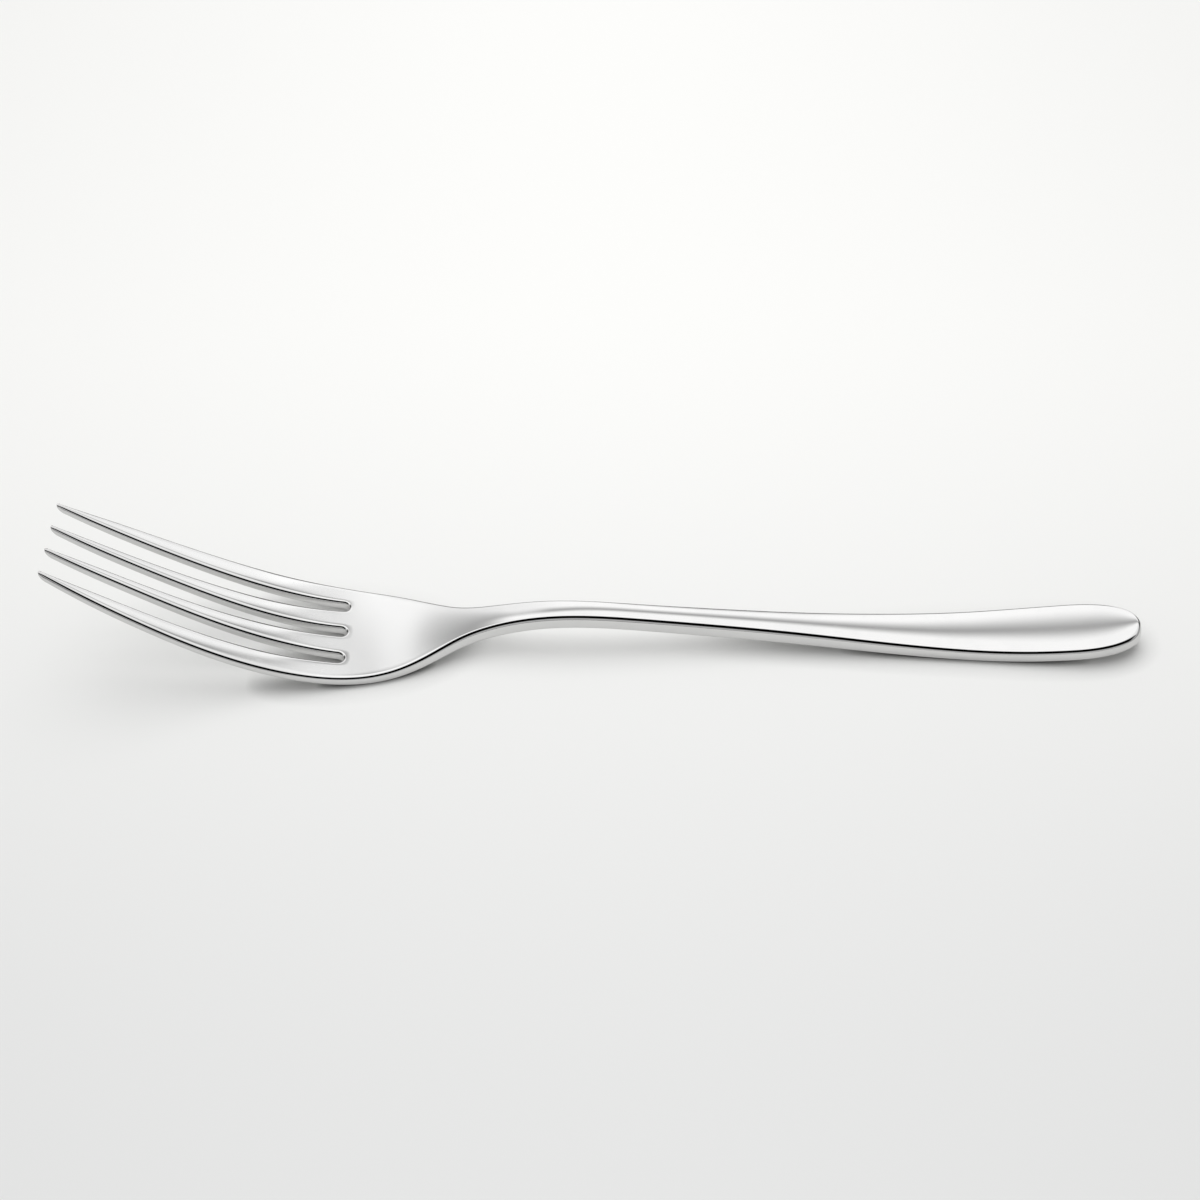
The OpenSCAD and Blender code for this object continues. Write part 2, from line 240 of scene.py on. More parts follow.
crotch_reach = crotch_centre_x - tip_x
centre_slot = curve(lay(CENTRE_SLOT, (0, crotch_r), (crotch_reach, (TIP_PITCH - TIP_W) / 2)))
side_slot_inner = curve(lay(
    SIDE_SLOT_INNER, (0, SLOT_PITCH - crotch_r), (crotch_reach, (TIP_PITCH + TIP_W) / 2)
))
side_slot_outer = curve(lay(
    SIDE_SLOT_OUTER, (0, SLOT_PITCH + crotch_r), (crotch_reach, 1.5 * TIP_PITCH - TIP_W / 2)
))


def end_way(x):
    """How far into the rounded end of the handle a place is, from 0 to 1."""
    return np.clip((x - handle_round_x) / HANDLE_END_LENGTH, 0, 1)


def metal(x):
    """Thickness of the metal, whose underside rises at a point."""
    way = np.clip((x - tip_x) / POINT_LENGTH, 0, 1)
    return follow(thickness, x)[0] * (1 - (1 - POINT_THICKNESS / TIP_THICKNESS) * (1 - way) ** 2)


def crown_drop(x, y):
    """How far the front lies below the crest, to both sides of the middle line."""
    across = np.abs(y) / follow(blank, x)[0]
    full = (1 - end_way(x) ** END_FULLNESS) ** (1 / END_FULLNESS)
    return follow(crown, x)[0] * np.minimum(1, across / np.maximum(full, LEAST_FULLNESS)) ** 2


def place(x, y, h):
    """The point at depth h, square to the crest, below plan place x, y."""
    z, slope = follow(crest, x)
    run = np.hypot(1, slope)
    return np.stack([x - h * slope / run, y, np.maximum(0, z + h / run)], -1)


def band(wall, inward, middle, edge, bend=0.0):
    """Rows of points from the middle line over the front, round a wall and back along the underside.

    wall, inward and middle have a row for each step along the wall: its place, the direction into
    the metal, and the place on the middle line. bend is the crown of a tine, as half a curvature.
    """
    thick = metal(wall[:, 0])
    depth = np.minimum(follow(edge_depth, wall[:, 0])[0], FRONT_EDGE_SHARE * thick)
    back = np.minimum(np.minimum(BACK_EDGE_R, BACK_EDGE_SHARE * thick), edge)

    def top(p):
        return -crown_drop(p[:, 0], p[:, 1]) - bend * np.sum((p - middle) ** 2, 1)

    def bottom(p):
        return -metal(p[:, 0])

    # The polish reaches less far from an edge near the crotches
    near_crotch = np.clip(1 - np.abs(wall[:, 0] - crotch_centre_x) / RIM_FADE_LENGTH, 0, 1)
    kept = 1 - (1 - CROTCH_RIM) * near_crotch ** 2 * (3 - 2 * near_crotch)

    rows, rims = [], []
    inner = wall + inward * edge[:, None]
    for k in range(STRIP_STEPS):
        p = middle + (inner - middle) * k / STRIP_STEPS
        rows.append((p, top(p)))
        rims.append(rim(np.linalg.norm(inner - p, axis=1)) * kept)
    for k in range(EDGE_STEPS + 1):
        turn = math.pi / 2 * (1 - k / EDGE_STEPS)
        p = wall + inward * (edge * (1 - math.cos(turn)))[:, None]
        rows.append((p, top(p) - depth * (1 - math.sin(turn))))
        rims.append(np.full(len(wall), 1.0))
    front_h, back_h = top(wall) - depth, bottom(wall) + back
    for k in range(1, WALL_STEPS):
        rows.append((wall, front_h + (back_h - front_h) * k / WALL_STEPS))
        rims.append(np.full(len(wall), 1.0))
    for k in range(BACK_STEPS + 1):
        turn = math.pi / 2 * k / BACK_STEPS
        p = wall + inward * (back * (1 - math.cos(turn)))[:, None]
        rows.append((p, bottom(p) + back * (1 - math.sin(turn))))
        rims.append(np.full(len(wall), 1.0))
    inner = wall + inward * back[:, None]
    for k in range(STRIP_STEPS - 1, -1, -1):
        p = middle + (inner - middle) * k / STRIP_STEPS
        rows.append((p, bottom(p)))
        rims.append(rim(np.linalg.norm(inner - p, axis=1)) * kept)
    grid = np.stack([place(p[:, 0], p[:, 1], h) for p, h in rows], 1)
    return marked(grid, np.stack(rims, 1))


def rim(distance):
    """How far the brighter polish of an edge still reaches at a distance from it, from 1 to 0."""
    return np.clip(1 - distance / RIM_W, 0, 1) ** 2


def marked(grid, polish):
    """A grid of points with a fourth value for each, the polish that an edge gives it."""
    return np.concatenate([grid, np.broadcast_to(polish, grid.shape[:2])[..., None]], -1)


def across(x, y):
    """Plan places for a row of x and a row or single value of y."""
    return np.stack(np.broadcast_arrays(np.asarray(x, float), y), -1)


def facing(x, direction):
    """The same direction across the fork for each place."""
    return np.tile([0.0, direction], (len(x), 1))


patches = []

# Places of the sections along the tines, closer at the points
point_turn = math.pi / 2 * np.arange(1, TIP_STEPS) / TIP_STEPS
tine_places = np.concatenate([
    tip_x + TIP_ROUND * (1 - np.cos(point_turn)),
    tip_x + TIP_ROUND + (POINT_LENGTH - TIP_ROUND) * np.arange(TIP_STEPS) / TIP_STEPS,
    np.linspace(tip_x + POINT_LENGTH, crotch_centre_x, TINE_STEPS + 1)
])
from_crotch = crotch_centre_x - tine_places
crown_way = np.clip(from_crotch / HEAD_WIDEST_LEAD, 0, 1)
tine_bend = crown_way ** 2 * (3 - 2 * crown_way) / (2 * TINE_CROWN_R)

inner_a = follow(centre_slot, from_crotch)[0]
inner_b = follow(side_slot_inner, from_crotch)[0]
outer_a = follow(side_slot_outer, from_crotch)[0]
outer_b = follow(blank, tine_places)[0]


def tine_band(wall_y, direction, middle_y, edge):
    """One side of a tine, from the middle of its point along the wall to the crotch."""
    half = direction * (middle_y - wall_y)
    fill = np.ones(len(tine_places))
    fill[: TIP_STEPS - 1] = np.sin(point_turn)
    wall = across(tine_places, middle_y - direction * half * fill)
    wall = np.concatenate([[[tip_x, middle_y[0]]], wall])
    inward = facing(wall, direction)
    inward[: TIP_STEPS] = np.stack([
        np.cos(np.append(0, point_turn)), direction * np.sin(np.append(0, point_turn))
    ], -1)
    half = np.append(half[0], half)
    edge = np.minimum(np.append(edge[0], edge), 2 * EDGE_WIDTH_SHARE * half)
    middle = across(np.maximum(wall[:, 0], tip_x + TIP_ROUND), np.append(middle_y[0], middle_y))
    patches.append(band(wall, inward, middle, edge, np.append(tine_bend[0], tine_bend)))


inner_middle = (inner_a + inner_b) / 2
outer_middle = (outer_a + outer_b) / 2
slot_edge = follow(slot_edge_w, tine_places)[0]
tine_band(inner_a, 1, inner_middle, slot_edge)
tine_band(inner_b, -1, inner_middle, slot_edge)
tine_band(outer_a, 1, outer_middle, slot_edge)
tine_band(outer_b, -1, outer_middle, follow(edge_w, tine_places)[0])

# Round the crotches, from the tines' middle lines to a line across the palm
join_x = crotch_x + PALM_JOIN_LENGTH
side_x = np.linspace(crotch_centre_x, join_x, CROTCH_SIDE_STEPS + 1)
inner_line = SLOT_PITCH / 2
outer_line = (SLOT_PITCH + crotch_r + follow(blank, side_x)[0]) / 2
centre_end_y = np.linspace(inner_line, 0, CROTCH_END_STEPS + 1)
side_end_y = np.linspace(inner_line, outer_line[-1], 2 * CROTCH_END_STEPS + 1)


def crotch_band(centre_y, start, end, boundary):
    """The round end of a slot, between two angles, out to a boundary in the palm and the tines."""
    turn = np.radians(np.linspace(start, end, len(boundary)))
    out = np.stack([np.cos(turn), np.sin(turn)], -1)
    centre = np.array([crotch_centre_x, centre_y])
    patches.append(band(
        centre + crotch_r * out, out, boundary, np.full(len(boundary), CROTCH_EDGE_W)
    ))


crotch_band(0, 90, 0, np.concatenate([
    across(side_x, inner_line), across(join_x, centre_end_y[1:])
]))
crotch_band(SLOT_PITCH, -90, 90, np.concatenate([
    across(side_x, inner_line), across(join_x, side_end_y[1:]),
    across(side_x, outer_line)[-2::-1]
]))

# The outer edge from the crotches to the end of the handle
stretch_x = np.linspace(join_x, handle_round_x, STRETCH_STEPS + 1)
turn = np.linspace(0, math.pi / 2, ROUND_END_SAMPLES)
round_x = handle_round_x + HANDLE_END_LENGTH * np.sin(turn) ** (2 / END_FULLNESS)
round_y = follow(blank, round_x)[0] * np.cos(turn) ** (2 / END_FULLNESS)
length = np.concatenate([[0], np.cumsum(np.hypot(np.diff(round_x), np.diff(round_y)))])
stops = np.linspace(0, length[-1], END_STEPS + 1)
outline = np.concatenate([
    across(side_x, follow(blank, side_x)[0]),
    across(stretch_x, follow(blank, stretch_x)[0])[1:],
    np.stack([np.interp(stops, length, round_x), np.interp(stops, length, round_y)], -1)[1:]
])
outline[-1] = end_x, 0
along = np.gradient(outline, axis=0)
along[: len(side_x)] = np.stack([np.ones(len(side_x)), follow(blank, side_x)[1]], -1)
along[-1] = 0, -1
along /= np.linalg.norm(along, axis=1)[:, None]
inward = np.stack([along[:, 1], -along[:, 0]], -1)
inward[0] = 0, -1
outline_edge = follow(edge_w, outline[:, 0])[0]
inner_edge = outline + inward * outline_edge[:, None]
joined = len(side_x) - 1
reach = outer_line[-1] / inner_edge[joined, 1]
middle = np.stack([inner_edge[:, 0], inner_edge[:, 1] * reach], -1)
middle[: joined + 1] = across(side_x, outer_line)
patches.append(band(outline, inward, middle, outline_edge))

# The front and the underside of the palm, neck and handle, inside that edge
shares = np.concatenate([centre_end_y[::-1], side_end_y[1:]]) / outer_line[-1]
body = middle[joined:]
body_x = np.tile(body[:, :1], len(shares))
body_y = body[:, 1:] * shares
body_thick = follow(thickness, body_x)[0]
body_rim = rim(np.maximum(0, inner_edge[joined:, 1:] - body_y))
patches.append(marked(place(body_x, body_y, -crown_drop(body_x, body_y)), body_rim))
patches.append(marked(place(body_x, body_y, -body_thick), body_rim))


def build(name, grids):
    """One mesh from grids of points, and from the same grids mirrored, welded where they meet."""
    points, faces, start = [], [], 0
    for grid in grids:
        for side in (1, -1):
            rows, columns = grid.shape[:2]
            points.append(grid.reshape(-1, 4) * [1, side, 1, 1])
            at = start + np.arange(rows * columns).reshape(rows, columns)
            faces.append(np.stack([
                at[:-1, :-1].ravel(), at[:-1, 1:].ravel(), at[1:, 1:].ravel(), at[1:, :-1].ravel()
            ], 1))
            start += rows * columns
    mesh = bpy.data.meshes.new(name)
    points = np.concatenate(points)
    mesh.from_pydata((points[:, :3] * MM).tolist(), [], np.concatenate(faces).tolist())
    mesh.attributes.new("edge", "FLOAT", "POINT").data.foreach_set("value", points[:, 3])
    work = bmesh.new()
    work.from_mesh(mesh)
    bmesh.ops.remove_doubles(work, verts=work.verts, dist=WELD_DISTANCE * MM)
    bmesh.ops.dissolve_degenerate(work, edges=work.edges, dist=SHORTEST_EDGE * MM)
    bmesh.ops.recalc_face_normals(work, faces=work.faces)
    for face in work.faces:
        face.smooth = True
    work.to_mesh(mesh)
    work.free()
    made = bpy.data.objects.new(name, mesh)
    bpy.context.scene.collection.objects.link(made)
    return made


fork = build("fork_steel", patches)
print("fork", len(fork.data.vertices), "points", len(fork.data.polygons), "faces")


def nodes_of(tree):
    """Makers of nodes for an emptied tree: of any kind, for maths, for smooth ramps and for blends."""
    tree.nodes.clear()

    def node(kind, inputs=None, **settings):
        made = tree.nodes.new(kind)
        for key, value in settings.items():
            setattr(made, key, value)
        for key, value in (inputs or {}).items():
            if isinstance(value, bpy.types.NodeSocket):
                tree.links.new(value, made.inputs[key])
            else:
                made.inputs[key].default_value = value
        return made

    def maths(operation, *values):
        return node("ShaderNodeMath", dict(enumerate(values)), operation=operation).outputs[0]

    def ramp(value, span, ends=(0.0, 1.0)):
        """From one end to the other, smoothly, while a value crosses a span."""
        return node("ShaderNodeMapRange", {
            "Value": value, "From Min": span[0], "From Max": span[1],
            "To Min": ends[0], "To Max": ends[1]
        }, interpolation_type="SMOOTHSTEP").outputs[0]

    def blend(share, a, b):
        """Between two numbers, or between two colours."""
        if isinstance(a, tuple) or isinstance(b, tuple):
            return node("ShaderNodeMix", {0: share, 6: a, 7: b}, data_type="RGBA").outputs[2]
        return node("ShaderNodeMix", {0: share, 2: a, 3: b}, data_type="FLOAT").outputs[0]

    return node, maths, ramp, blend


def metres(span):
    """A span in millimetres, in metres."""
    return span[0] * MM, span[1] * MM


# Ends of a ramp that falls, and a colour
DOWN = (1, 0)
BLACK = (0, 0, 0, 1)

# Steel: its colours, and what makes it rougher. Spans along the fork and heights are in millimetres.
STEEL_TONE = (0.81, 0.808, 0.803, 1)
SMUDGED_TONE = (0.785, 0.784, 0.78, 1)
SATIN_TONE = (0.905, 0.905, 0.9, 1)
POLISHED_ROUGHNESS = 0.06
SATIN_ROUGHNESS = 0.12
SATIN_FADE = (-34, -24)
SATIN_ANISOTROPY = 0.5
SOFTER_SATIN_START = (-62, -53)
SOFTER_SATIN_FADE = (-40, -27)
SOFTER_SATIN_ROUGHNESS = 0.08
EDGE_ROUGHNESS = -0.015
RESTING_HEIGHTS = (0.02, 0.12)
RESTING_ROUGHNESS = 0.3

# Marks on the steel. A grain has a stretch, a fineness per metre, a detail and a turn in degrees.
SMUDGE_GRAIN = ((1, 1, 1), 90, 4, 0)
SMUDGE_SPAN = (0.42, 0.62)
SMUDGE_ROUGHNESS = 0.02
LINE_GRAIN = ((0.04, 1, 1), 9000, 3, 0)
LINE_ROUGHNESS = 0.012
HAIR_GRAIN = ((0.05, 1, 1), 2600, 2, 24)
HAIR_SPAN = (0.66, 0.72)
OTHER_HAIR_GRAIN = ((0.05, 1, 1), 2100, 2, -37)
OTHER_HAIR_SPAN = (0.67, 0.73)
SCRATCH_ROUGHNESS = 0.05
SCRATCH_HEIGHT = -0.6
GRAIN_ROUGHNESS = 0.6
BUMP_STRENGTH = 0.07
BUMP_HEIGHT = 0.0004


def polished_steel():
    """Bright steel with a satin front to the head, fine lines from polishing, and light wear."""
    material = bpy.data.materials.new("polished_steel")
    material.use_nodes = True
    node, maths, ramp, blend = nodes_of(material.node_tree)

    where = node("ShaderNodeTexCoord").outputs["Object"]
    parts = node("ShaderNodeSeparateXYZ", {0: where}).outputs
    edge = node("ShaderNodeAttribute", attribute_name="edge").outputs["Fac"]

    def grain(stretch, fineness, detail, turn):
        turned = node("ShaderNodeMapping", {
            "Vector": where, "Scale": stretch, "Rotation": (0, 0, math.radians(turn))
        })
        return node("ShaderNodeTexNoise", {
            "Vector": turned.outputs[0], "Scale": fineness, "Detail": detail,
            "Roughness": GRAIN_ROUGHNESS
        }).outputs[0]

    # Soft smudges, lines along the fork from polishing, and a few hairline scratches across them
    smudge = ramp(grain(*SMUDGE_GRAIN), SMUDGE_SPAN)
    lines = grain(*LINE_GRAIN)
    scratches = maths(
        "MAXIMUM", ramp(grain(*HAIR_GRAIN), HAIR_SPAN), ramp(grain(*OTHER_HAIR_GRAIN), OTHER_HAIR_SPAN)
    )

    # The head is satin but for its edges, and softer still round the ends of the slots
    head = ramp(parts["X"], metres(SATIN_FADE), DOWN)
    satin = maths("MULTIPLY", head, maths("SUBTRACT", 1.0, edge))
    round_slots = maths("MULTIPLY", ramp(parts["X"], metres(SOFTER_SATIN_START)),
                        ramp(parts["X"], metres(SOFTER_SATIN_FADE), DOWN))
    rough = maths("MULTIPLY_ADD", satin, SATIN_ROUGHNESS - POLISHED_ROUGHNESS, POLISHED_ROUGHNESS)
    for share, change in (
        (maths("MULTIPLY", satin, round_slots), SOFTER_SATIN_ROUGHNESS),
        (smudge, SMUDGE_ROUGHNESS),
        (lines, LINE_ROUGHNESS),
        (edge, EDGE_ROUGHNESS),
        (scratches, SCRATCH_ROUGHNESS),
        (ramp(parts["Z"], metres(RESTING_HEIGHTS), DOWN), RESTING_ROUGHNESS)
    ):
        rough = maths("MULTIPLY_ADD", share, change, rough)

    bump = node("ShaderNodeBump", {
        "Height": maths("MULTIPLY_ADD", scratches, SCRATCH_HEIGHT, lines),
        "Strength": BUMP_STRENGTH, "Distance": BUMP_HEIGHT * MM
    })
    shader = node("ShaderNodeBsdfPrincipled", {
        "Base Color": blend(satin, blend(smudge, STEEL_TONE, SMUDGED_TONE), SATIN_TONE),
        "Metallic": 1.0, "Roughness": rough, "Normal": bump.outputs[0],
        "Anisotropic": maths("MULTIPLY", satin, SATIN_ANISOTROPY),
        "Tangent": node("ShaderNodeCombineXYZ", {"Y": 1.0}).outputs[0]
    })
    node("ShaderNodeOutputMaterial", {"Surface": shader.outputs[0]})
    return material


fork.data.materials.append(polished_steel())
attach(fork, "root")
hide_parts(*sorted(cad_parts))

# Floor, with its two reaches in metres and its depth in millimetres. It reaches further back than
# forward, so that its diagonal doesn't run under the fork.
FLOOR_REACH = 12
FLOOR_FAR_REACH = 18
FLOOR_DEPTH = 0.02
NEAR_FLOOR_TONE = (0.79, 0.794, 0.79, 1)
FAR_FLOOR_TONE = (0.985, 0.985, 0.968, 1)

# What changes the floor's tone, with its painted light falloff, and its painted shade. All spans and
# reaches are in millimetres.
FLOOR_TONE_SPAN = (-140, 115)
FLOOR_SIDE_SPAN = (0, 250)
FLOOR_SIDE_DARKENING = 0.1
LIT_SHARE = 0.62
SHADE_REACH = 5
SHADE_SAMPLES = 6
SHADE_SPAN = (-9, 7)
SHADE_STRENGTHS = (3.6, 0.6)
SLOT_SHADE_FADE = (-58, -47)
SLOT_SHADE_SIDES = (9, 13)
SLOT_SHADE_LOSS = 0.7
ARCH_SHADE_FADE = (-36, -20)
ARCH_SHADE_RETURN = (8, 52)
ARCH_SHADE_SHARE = 0.05
CONTACT_REACH = 1.2
CONTACT_SAMPLES = 4
CONTACT_SPAN = (-5, 5)
PALM_CONTACT_FADE = (-46, -42)
PALM_CONTACT_SIDES = (9, 12)
PALM_CONTACT_LOSS = 0.8
MIRRORED_FLOOR_SPAN = (-85, -55)
MIRRORED_GLOW_LOSS = 0.45


def pale_floor():
    """A matt floor that also glows, though it is no lamp. Painted shade darkens the floor close to the
    fork.
    """
    material = bpy.data.materials.new("floor")
    material.use_nodes = True
    node, maths, ramp, blend = nodes_of(material.node_tree)
    parts = node("ShaderNodeSeparateXYZ", {0: node("ShaderNodeTexCoord").outputs["Object"]}).outputs
    x, y = parts["X"], parts["Y"]
    path = node("ShaderNodeLightPath").outputs

    # Painted light falloff: paler away from the camera, and a little darker to both sides
    tone = blend(ramp(y, metres(FLOOR_TONE_SPAN)), NEAR_FLOOR_TONE, FAR_FLOOR_TONE)
    sideways = ramp(maths("ABSOLUTE", x), metres(FLOOR_SIDE_SPAN))
    tone = blend(maths("MULTIPLY", sideways, FLOOR_SIDE_DARKENING), tone, BLACK)

    def within(fade, sides):
        """The head's share of the floor, up to a place along it and to its two sides."""
        return maths("MULTIPLY", ramp(x, metres(fade), DOWN),
                     ramp(maths("ABSOLUTE", y), metres(sides), DOWN))

    def shade_of(reach, samples, strength):
        """Painted shade, as the camera sees it: how much light gets past the fork close over the
        floor, from ambient occlusion.
        """
        open_share = node("ShaderNodeAmbientOcclusion", {"Distance": reach * MM}, samples=samples)
        loss = maths("SUBTRACT", maths("POWER", open_share.outputs["AO"], strength), 1.0)
        return maths("MULTIPLY_ADD", path["Is Camera Ray"], loss, 1.0)

    # The painted shade under the fork is weak on its far side, in the slots and below the arch of the
    # neck
    in_slots = within(SLOT_SHADE_FADE, SLOT_SHADE_SIDES)
    arch = maths("MAXIMUM", ramp(x, metres(ARCH_SHADE_FADE), (1, ARCH_SHADE_SHARE)),
                 ramp(x, metres(ARCH_SHADE_RETURN), (ARCH_SHADE_SHARE, 1)))
    strength = maths("MULTIPLY", ramp(y, metres(SHADE_SPAN), SHADE_STRENGTHS),
                     maths("MULTIPLY_ADD", in_slots, -SLOT_SHADE_LOSS, 1.0))
    painted_shade = shade_of(SHADE_REACH, SHADE_SAMPLES, maths("MULTIPLY", strength, arch))

    # Painted contact shadow: right beside a place where the fork touches it, the floor loses the other
    # light too
    under_palm = within(PALM_CONTACT_FADE, PALM_CONTACT_SIDES)
    strength = maths("MULTIPLY", ramp(y, metres(CONTACT_SPAN), DOWN),
                     maths("MULTIPLY_ADD", under_palm, -PALM_CONTACT_LOSS, 1.0))
    painted_contact_shade = shade_of(CONTACT_REACH, CONTACT_SAMPLES, strength)

    # What the steel mirrors of the floor is painted darker on the camera's side, a painted reflection
    near = ramp(y, metres(MIRRORED_FLOOR_SPAN), DOWN)
    mirrored = path["Is Glossy Ray"]
    glow_loss = maths("MULTIPLY_ADD", near, 1 - MIRRORED_GLOW_LOSS, MIRRORED_GLOW_LOSS)
    # The floor's glow, though it is no lamp, carries the painted shade and painted contact shadow, and
    # is painted darker in the steel's mirror on the camera's side
    glow = maths("MULTIPLY", maths("MULTIPLY", painted_shade, painted_contact_shade), 1 - LIT_SHARE)
    glow = maths("MULTIPLY", glow, maths("SUBTRACT", 1.0, maths("MULTIPLY", mirrored, glow_loss)))
    # The lit colour is darkened by the painted contact shadow, and painted darker in the steel's
    # mirror on the camera's side
    lit_share = maths("SUBTRACT", 1.0, maths("MULTIPLY", mirrored, near))
    lit_share = maths("MULTIPLY", maths("MULTIPLY", lit_share, LIT_SHARE), painted_contact_shade)
    own = node("ShaderNodeEmission", {"Color": tone, "Strength": glow})
    lit = node("ShaderNodeBsdfDiffuse", {"Color": blend(lit_share, BLACK, tone)})
    both = node("ShaderNodeAddShader", {0: own.outputs[0], 1: lit.outputs[0]})
    node("ShaderNodeOutputMaterial", {"Surface": both.outputs[0]})
    return material


floor_mesh = bpy.data.meshes.new("floor")
floor_mesh.from_pydata([
    (-FLOOR_REACH, -FLOOR_REACH, 0), (FLOOR_REACH, -FLOOR_REACH, 0),
    (FLOOR_REACH, FLOOR_FAR_REACH, 0), (-FLOOR_REACH, FLOOR_FAR_REACH, 0)
], [], [(0, 1, 2, 3)])
floor = bpy.data.objects.new("floor", floor_mesh)
floor.location.z = -FLOOR_DEPTH * MM
bpy.context.scene.collection.objects.link(floor)
floor_mesh.materials.append(pale_floor())

# Studio, as the steel mirrors it. A direction is known by three angles in degrees: over is turned
# about the fork's length, from the far side (0) over the top (90) to the camera's side (180). right
# is the angle towards the end of the handle, and up is the angle above the horizon. Each span is one
# of these angles.
FAR_LEVEL = 1.19
FAR_LEFT_LEVEL = 1.06
FAR_LEVEL_RIGHT = (-14, 2)
FAR_START_RIGHT = (-26, -16)
FAR_STARTS = (14, 32)
FAR_LATER_RIGHT = (12, 20)
FAR_LATER = 8
FAR_END_RIGHT = (-14, -4)
FAR_ENDS = (58, 47)
FAR_LEFT_FADE = (-42, -15)
FAR_RIGHT_FADE = (34, 58)
RAISED_RIGHT = (-6, 10)
RAISED = 5.5
RAISED_LEFT_FADE = (-25, -13)
UPPER_LEVEL = 1.15
UPPER_START = (44, 54)
UPPER_END = (87, 94)
UPPER_LEFT_FADE = (-27, -18)
UPPER_LEFT_START = (58, 70)
GAP_LEVEL = 0.4
GAP_RIGHT_LEVEL = 0.22
GAP_RIGHT_FADE = (13, 22)
GAP_LEFT_SHARE = 0.1
GAP_LEFT_FADE = (-37, -29)
NEAR_LEVEL = 0.5
NEAR_START = (142, 156)
HORIZON_LEVEL = 0.03
HORIZON_STARTS = (7, 24)
HORIZON_ENDS = (20, 35)
HORIZON_HIGH_RIGHT = (28, 36)
HORIZON_RAISED = 6
HORIZON_RAISED_RIGHT = (2, 9)
OPEN_RIGHT_START = (12, 15)
OPEN_RIGHT_END = (22, 28)
OPEN_NEAR_START = (128, 145)
ROOM_ENDS = (50, 64)
ROOM_END_UP = (0, 60)
ROOM_END_LEVELS = (0.3, 0.9)
BELOW_LEVEL = 0.6
BELOW_UP = (-1, 0)

# The light on the floor: soft all round, and from a soft lamp high on the far side
LAMP_HEIGHT = 68
LAMP_EDGE = (0.86, 0.94)
LAMP_LEVEL = 2.55
SOFT_LEVEL = 0.55


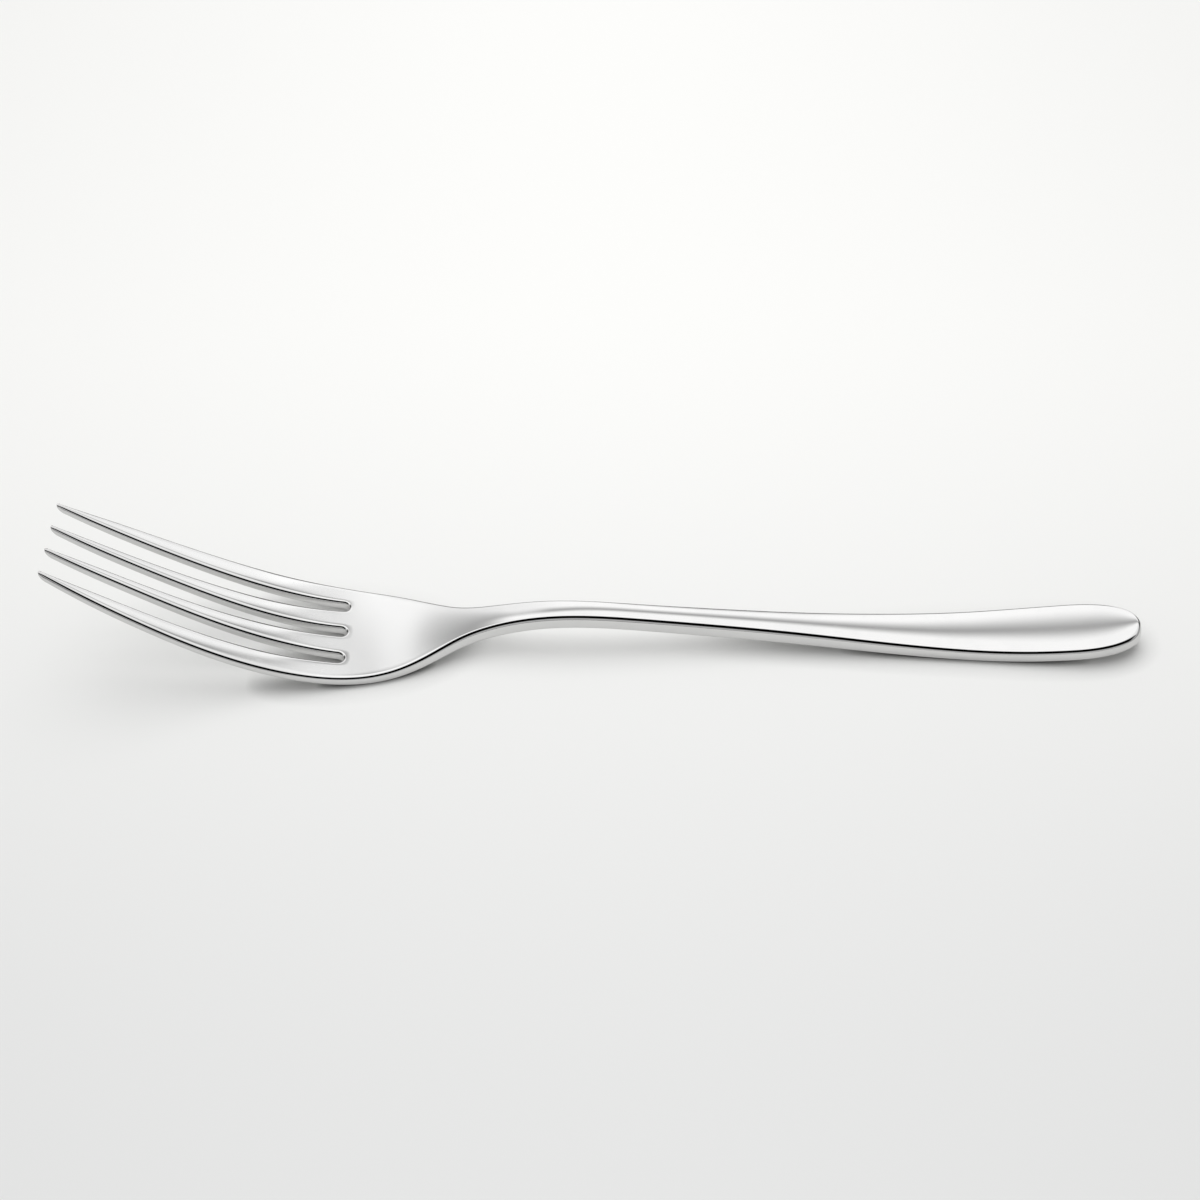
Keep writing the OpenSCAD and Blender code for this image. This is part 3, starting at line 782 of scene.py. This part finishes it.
def light_the_room():
    """A room for the steel to mirror, and other light for the floor."""
    world = bpy.data.worlds.new("studio")
    bpy.context.scene.world = world
    world.use_nodes = True
    node, maths, ramp, blend = nodes_of(world.node_tree)
    direction = node("ShaderNodeTexCoord").outputs["Generated"]
    parts = node("ShaderNodeSeparateXYZ", {0: direction}).outputs
    over = maths("DEGREES", maths("ARCTAN2", parts["Z"], parts["Y"]))
    right = maths("DEGREES", maths("ARCSINE", parts["X"]))
    up = maths("DEGREES", maths("ARCSINE", parts["Z"]))
    before_near = ramp(over, UPPER_END, DOWN)

    # The gap between the far and the upper panel lies a little higher left of the middle
    raised = maths("MULTIPLY", ramp(right, RAISED_RIGHT, (RAISED, 0)), ramp(right, RAISED_LEFT_FADE))
    gap_over = maths("SUBTRACT", over, raised)

    # The far panel fades out above, more slowly on the left, and it ends far to both sides
    far_start = maths("ADD", ramp(right, FAR_START_RIGHT, FAR_STARTS),
                      ramp(right, FAR_LATER_RIGHT, (0, FAR_LATER)))
    far_end = ramp(right, FAR_END_RIGHT, FAR_ENDS)
    far = maths("MULTIPLY", ramp(gap_over, (far_start, far_end), DOWN),
                maths("MULTIPLY", ramp(right, FAR_LEFT_FADE), ramp(right, FAR_RIGHT_FADE, DOWN)))
    far_level = ramp(right, FAR_LEVEL_RIGHT, (FAR_LEFT_LEVEL, FAR_LEVEL))

    # The upper panel starts later far to the left
    upper = maths("MULTIPLY", maths("MULTIPLY", ramp(gap_over, UPPER_START), before_near),
                  maths("MAXIMUM", ramp(right, UPPER_LEFT_FADE), ramp(over, UPPER_LEFT_START)))

    # Past the upper panel the room is dark, then grey down to the floor on the camera's side
    gap_level = maths("MULTIPLY", ramp(right, GAP_RIGHT_FADE, (GAP_LEVEL, GAP_RIGHT_LEVEL)),
                      ramp(right, GAP_LEFT_FADE, (GAP_LEFT_SHARE, 1)))
    near_level = ramp(over, NEAR_START, (0, NEAR_LEVEL))
    light = ramp(over, UPPER_END, (gap_level, near_level))
    light = maths("MULTIPLY_ADD", far, maths("SUBTRACT", far_level, GAP_LEVEL), light)
    light = maths("MULTIPLY_ADD", upper, UPPER_LEVEL - GAP_LEVEL, light)

    # Dark round the horizon, and higher up on the right. It is not dark on the camera's side, nor on
    # the far side from about 12 to 28 degrees to the right.
    from_horizon = maths("SUBTRACT", up, ramp(right, HORIZON_RAISED_RIGHT, (0, HORIZON_RAISED)))
    clear = ramp(from_horizon, (
        ramp(right, HORIZON_HIGH_RIGHT, HORIZON_STARTS), ramp(right, HORIZON_HIGH_RIGHT, HORIZON_ENDS)
    ))
    open_right = maths("MULTIPLY", ramp(right, OPEN_RIGHT_START), ramp(right, OPEN_RIGHT_END, DOWN))
    clear = maths("MAXIMUM", clear, maths("MULTIPLY", open_right, before_near))
    clear = maths("MAXIMUM", clear, ramp(over, OPEN_NEAR_START))
    light = maths("MULTIPLY_ADD", maths("SUBTRACT", light, HORIZON_LEVEL), clear, HORIZON_LEVEL)

    # Soft and plain at both ends of the room, and under the floor
    at_ends = ramp(maths("ABSOLUTE", right), ROOM_ENDS)
    light = blend(at_ends, light, ramp(up, ROOM_END_UP, ROOM_END_LEVELS))
    light = blend(ramp(up, BELOW_UP), BELOW_LEVEL, light)

    lamp = math.radians(LAMP_HEIGHT)
    to_lamp = maths("ADD", maths("MULTIPLY", parts["Y"], math.cos(lamp)),
                    maths("MULTIPLY", parts["Z"], math.sin(lamp)))
    on_floor = maths("MULTIPLY_ADD", ramp(to_lamp, LAMP_EDGE), LAMP_LEVEL, SOFT_LEVEL)
    path = node("ShaderNodeLightPath").outputs
    shown = blend(path["Is Glossy Ray"], on_floor, light)
    shown = blend(path["Is Camera Ray"], shown, 1.0)
    background = node("ShaderNodeBackground", {"Color": (1, 1, 1, 1), "Strength": shown})
    node("ShaderNodeOutputWorld", {"Surface": background.outputs[0]})


light_the_room()

# Camera, at the photograph's place, in degrees and millimetres. It clips in metres.
CAMERA_AZIMUTH = math.radians(-0.128)
CAMERA_ELEVATION = math.radians(43.0)
CAMERA_DISTANCE = 400.1
CAMERA_TARGET = Vector((-0.89, 0, 10.3))
CAMERA_LENS = 65.16
SENSOR = 36
CLIP_START = 0.01
CLIP_END = 100
back = Vector((
    math.sin(CAMERA_AZIMUTH) * math.cos(CAMERA_ELEVATION),
    -math.cos(CAMERA_AZIMUTH) * math.cos(CAMERA_ELEVATION),
    math.sin(CAMERA_ELEVATION)
))
camera_data = bpy.data.cameras.new("camera")
camera_data.lens = CAMERA_LENS
camera_data.sensor_width = SENSOR
camera_data.clip_start = CLIP_START
camera_data.clip_end = CLIP_END
camera = bpy.data.objects.new("camera", camera_data)
bpy.context.scene.collection.objects.link(camera)
camera.location = (CAMERA_TARGET + back * CAMERA_DISTANCE) * MM
camera.rotation_mode = "QUATERNION"
camera.rotation_quaternion = (-back).to_track_quat("-Z", "Y")
bpy.context.scene.camera = camera
bpy.context.scene.view_settings.view_transform = "Standard"
